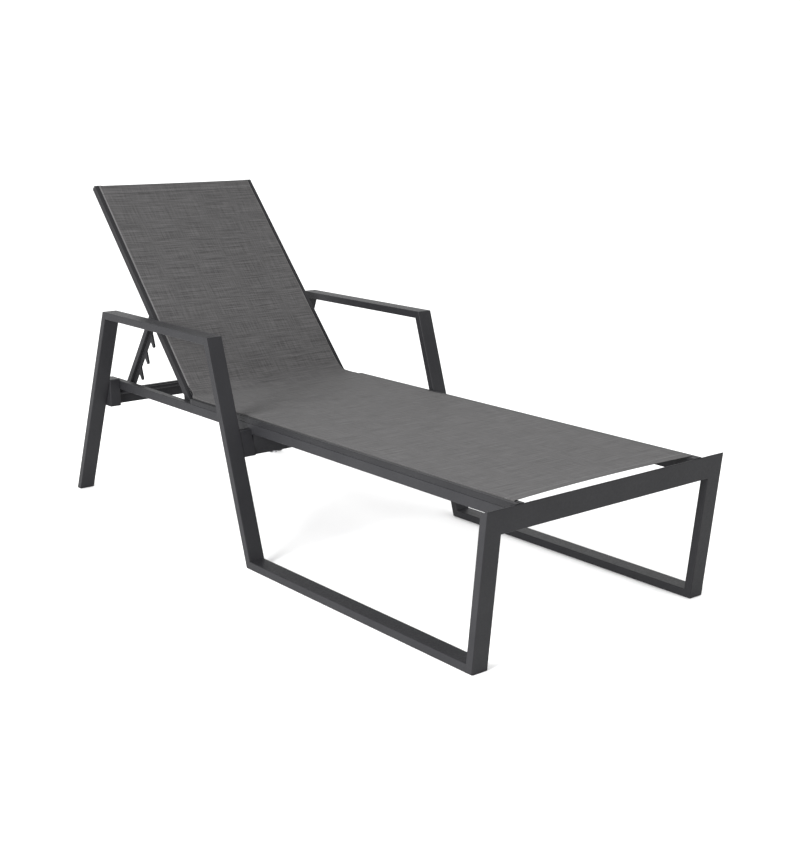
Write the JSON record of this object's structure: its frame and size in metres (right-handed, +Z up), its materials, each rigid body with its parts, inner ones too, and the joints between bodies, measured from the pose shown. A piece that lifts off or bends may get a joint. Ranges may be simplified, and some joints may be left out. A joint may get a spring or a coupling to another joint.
{
  "type": "reclining sun lounger",
  "caption": "Flat-tube sun lounger with armrests, a stretched sling bed and a folding backrest held by toothed props.",
  "frame": {"origin": "on the floor under the middle of the frame, half way between the rear feet and the foot crossbar's front and on the centre line", "axes": "+X toward the foot end, +Y toward the user's left side, +Z up"},
  "size_m": [1.8197, 0.735, 0.9],
  "materials": {
    "frame_coat": "matte fine-texture powder coat, anthracite",
    "sling_fabric": "woven coated mesh, grey melange",
    "keder_plastic": "smooth cord",
    "black_plastic": "moulded, fine grain",
    "fastener_steel": "stainless"
  },
  "bodies": {
    "frame": {"armrest_left": "frame_coat", "armrest_right": "frame_coat", "bracket_cap_left": "black_plastic", "bracket_cap_right": "black_plastic", "catch_rod": "frame_coat", "foot_crossbar": "frame_coat", "foot_leg_left": "frame_coat", "foot_leg_right": "frame_coat", "front_post_left": "frame_coat", "front_post_right": "frame_coat", "hinge_inserts": "fastener_steel", "hinge_screws": "fastener_steel", "mid_bracket_left": "frame_coat", "mid_bracket_right": "frame_coat", "mid_crossbar": "frame_coat", "rail_bolts": "fastener_steel", "rail_spacers": "fastener_steel", "rail_tabs": "frame_coat", "rail_washers": "fastener_steel", "rear_bracket_left": "frame_coat", "rear_bracket_right": "frame_coat", "rear_crossbar": "frame_coat", "rear_foot_glide_left": "black_plastic", "rear_foot_glide_right": "black_plastic", "rear_leg_left": "frame_coat", "rear_leg_right": "frame_coat", "seat_keder_rod_left": "keder_plastic", "seat_keder_rod_right": "keder_plastic", "seat_rail_cap_left": "black_plastic", "seat_rail_cap_right": "black_plastic", "seat_sling": "sling_fabric", "seat_sling_rail_left": "frame_coat", "seat_sling_rail_right": "frame_coat", "side_rail_left": "frame_coat", "side_rail_plug_left": "black_plastic", "side_rail_plug_right": "black_plastic", "side_rail_right": "frame_coat", "skid_glides": "black_plastic", "skid_left": "frame_coat", "skid_right": "frame_coat"},
    "backrest": {"back_keder_rod_left": "keder_plastic", "back_keder_rod_right": "keder_plastic", "back_low_crossbar": "frame_coat", "back_rail_cap_left": "black_plastic", "back_rail_cap_right": "black_plastic", "back_rail_left": "frame_coat", "back_rail_right": "frame_coat", "back_sling": "sling_fabric", "back_top_crossbar": "frame_coat", "hinge_bushes": "black_plastic", "hinge_lug_left": "frame_coat", "hinge_lug_right": "frame_coat", "prop_inserts": "fastener_steel", "prop_screws": "fastener_steel"},
    "prop": {"prop_bar_left": "frame_coat", "prop_bar_right": "frame_coat", "prop_bushes": "black_plastic", "prop_tie_tube": "frame_coat", "rack_plate_left": "frame_coat", "rack_plate_right": "frame_coat"}
  },
  "joints": [
    {"name": "backrest_hinge", "type": "hinge", "parent": "frame", "child": "backrest", "pos_m": [-0.409, 0, 0.3325], "axis": [0, -1, 0], "range_deg": [0, 47.8]},
    {"name": "prop_fold", "type": "hinge", "parent": "backrest", "child": "prop", "pos_m": [-0.60753, 0, 0.57229], "axis": [0, 1, 0], "range_deg": [0, 102.3]}
  ],
  "couplings": [
    {"joint": "prop_fold", "follows": "backrest_hinge", "ratio": 2.1392}
  ]
}
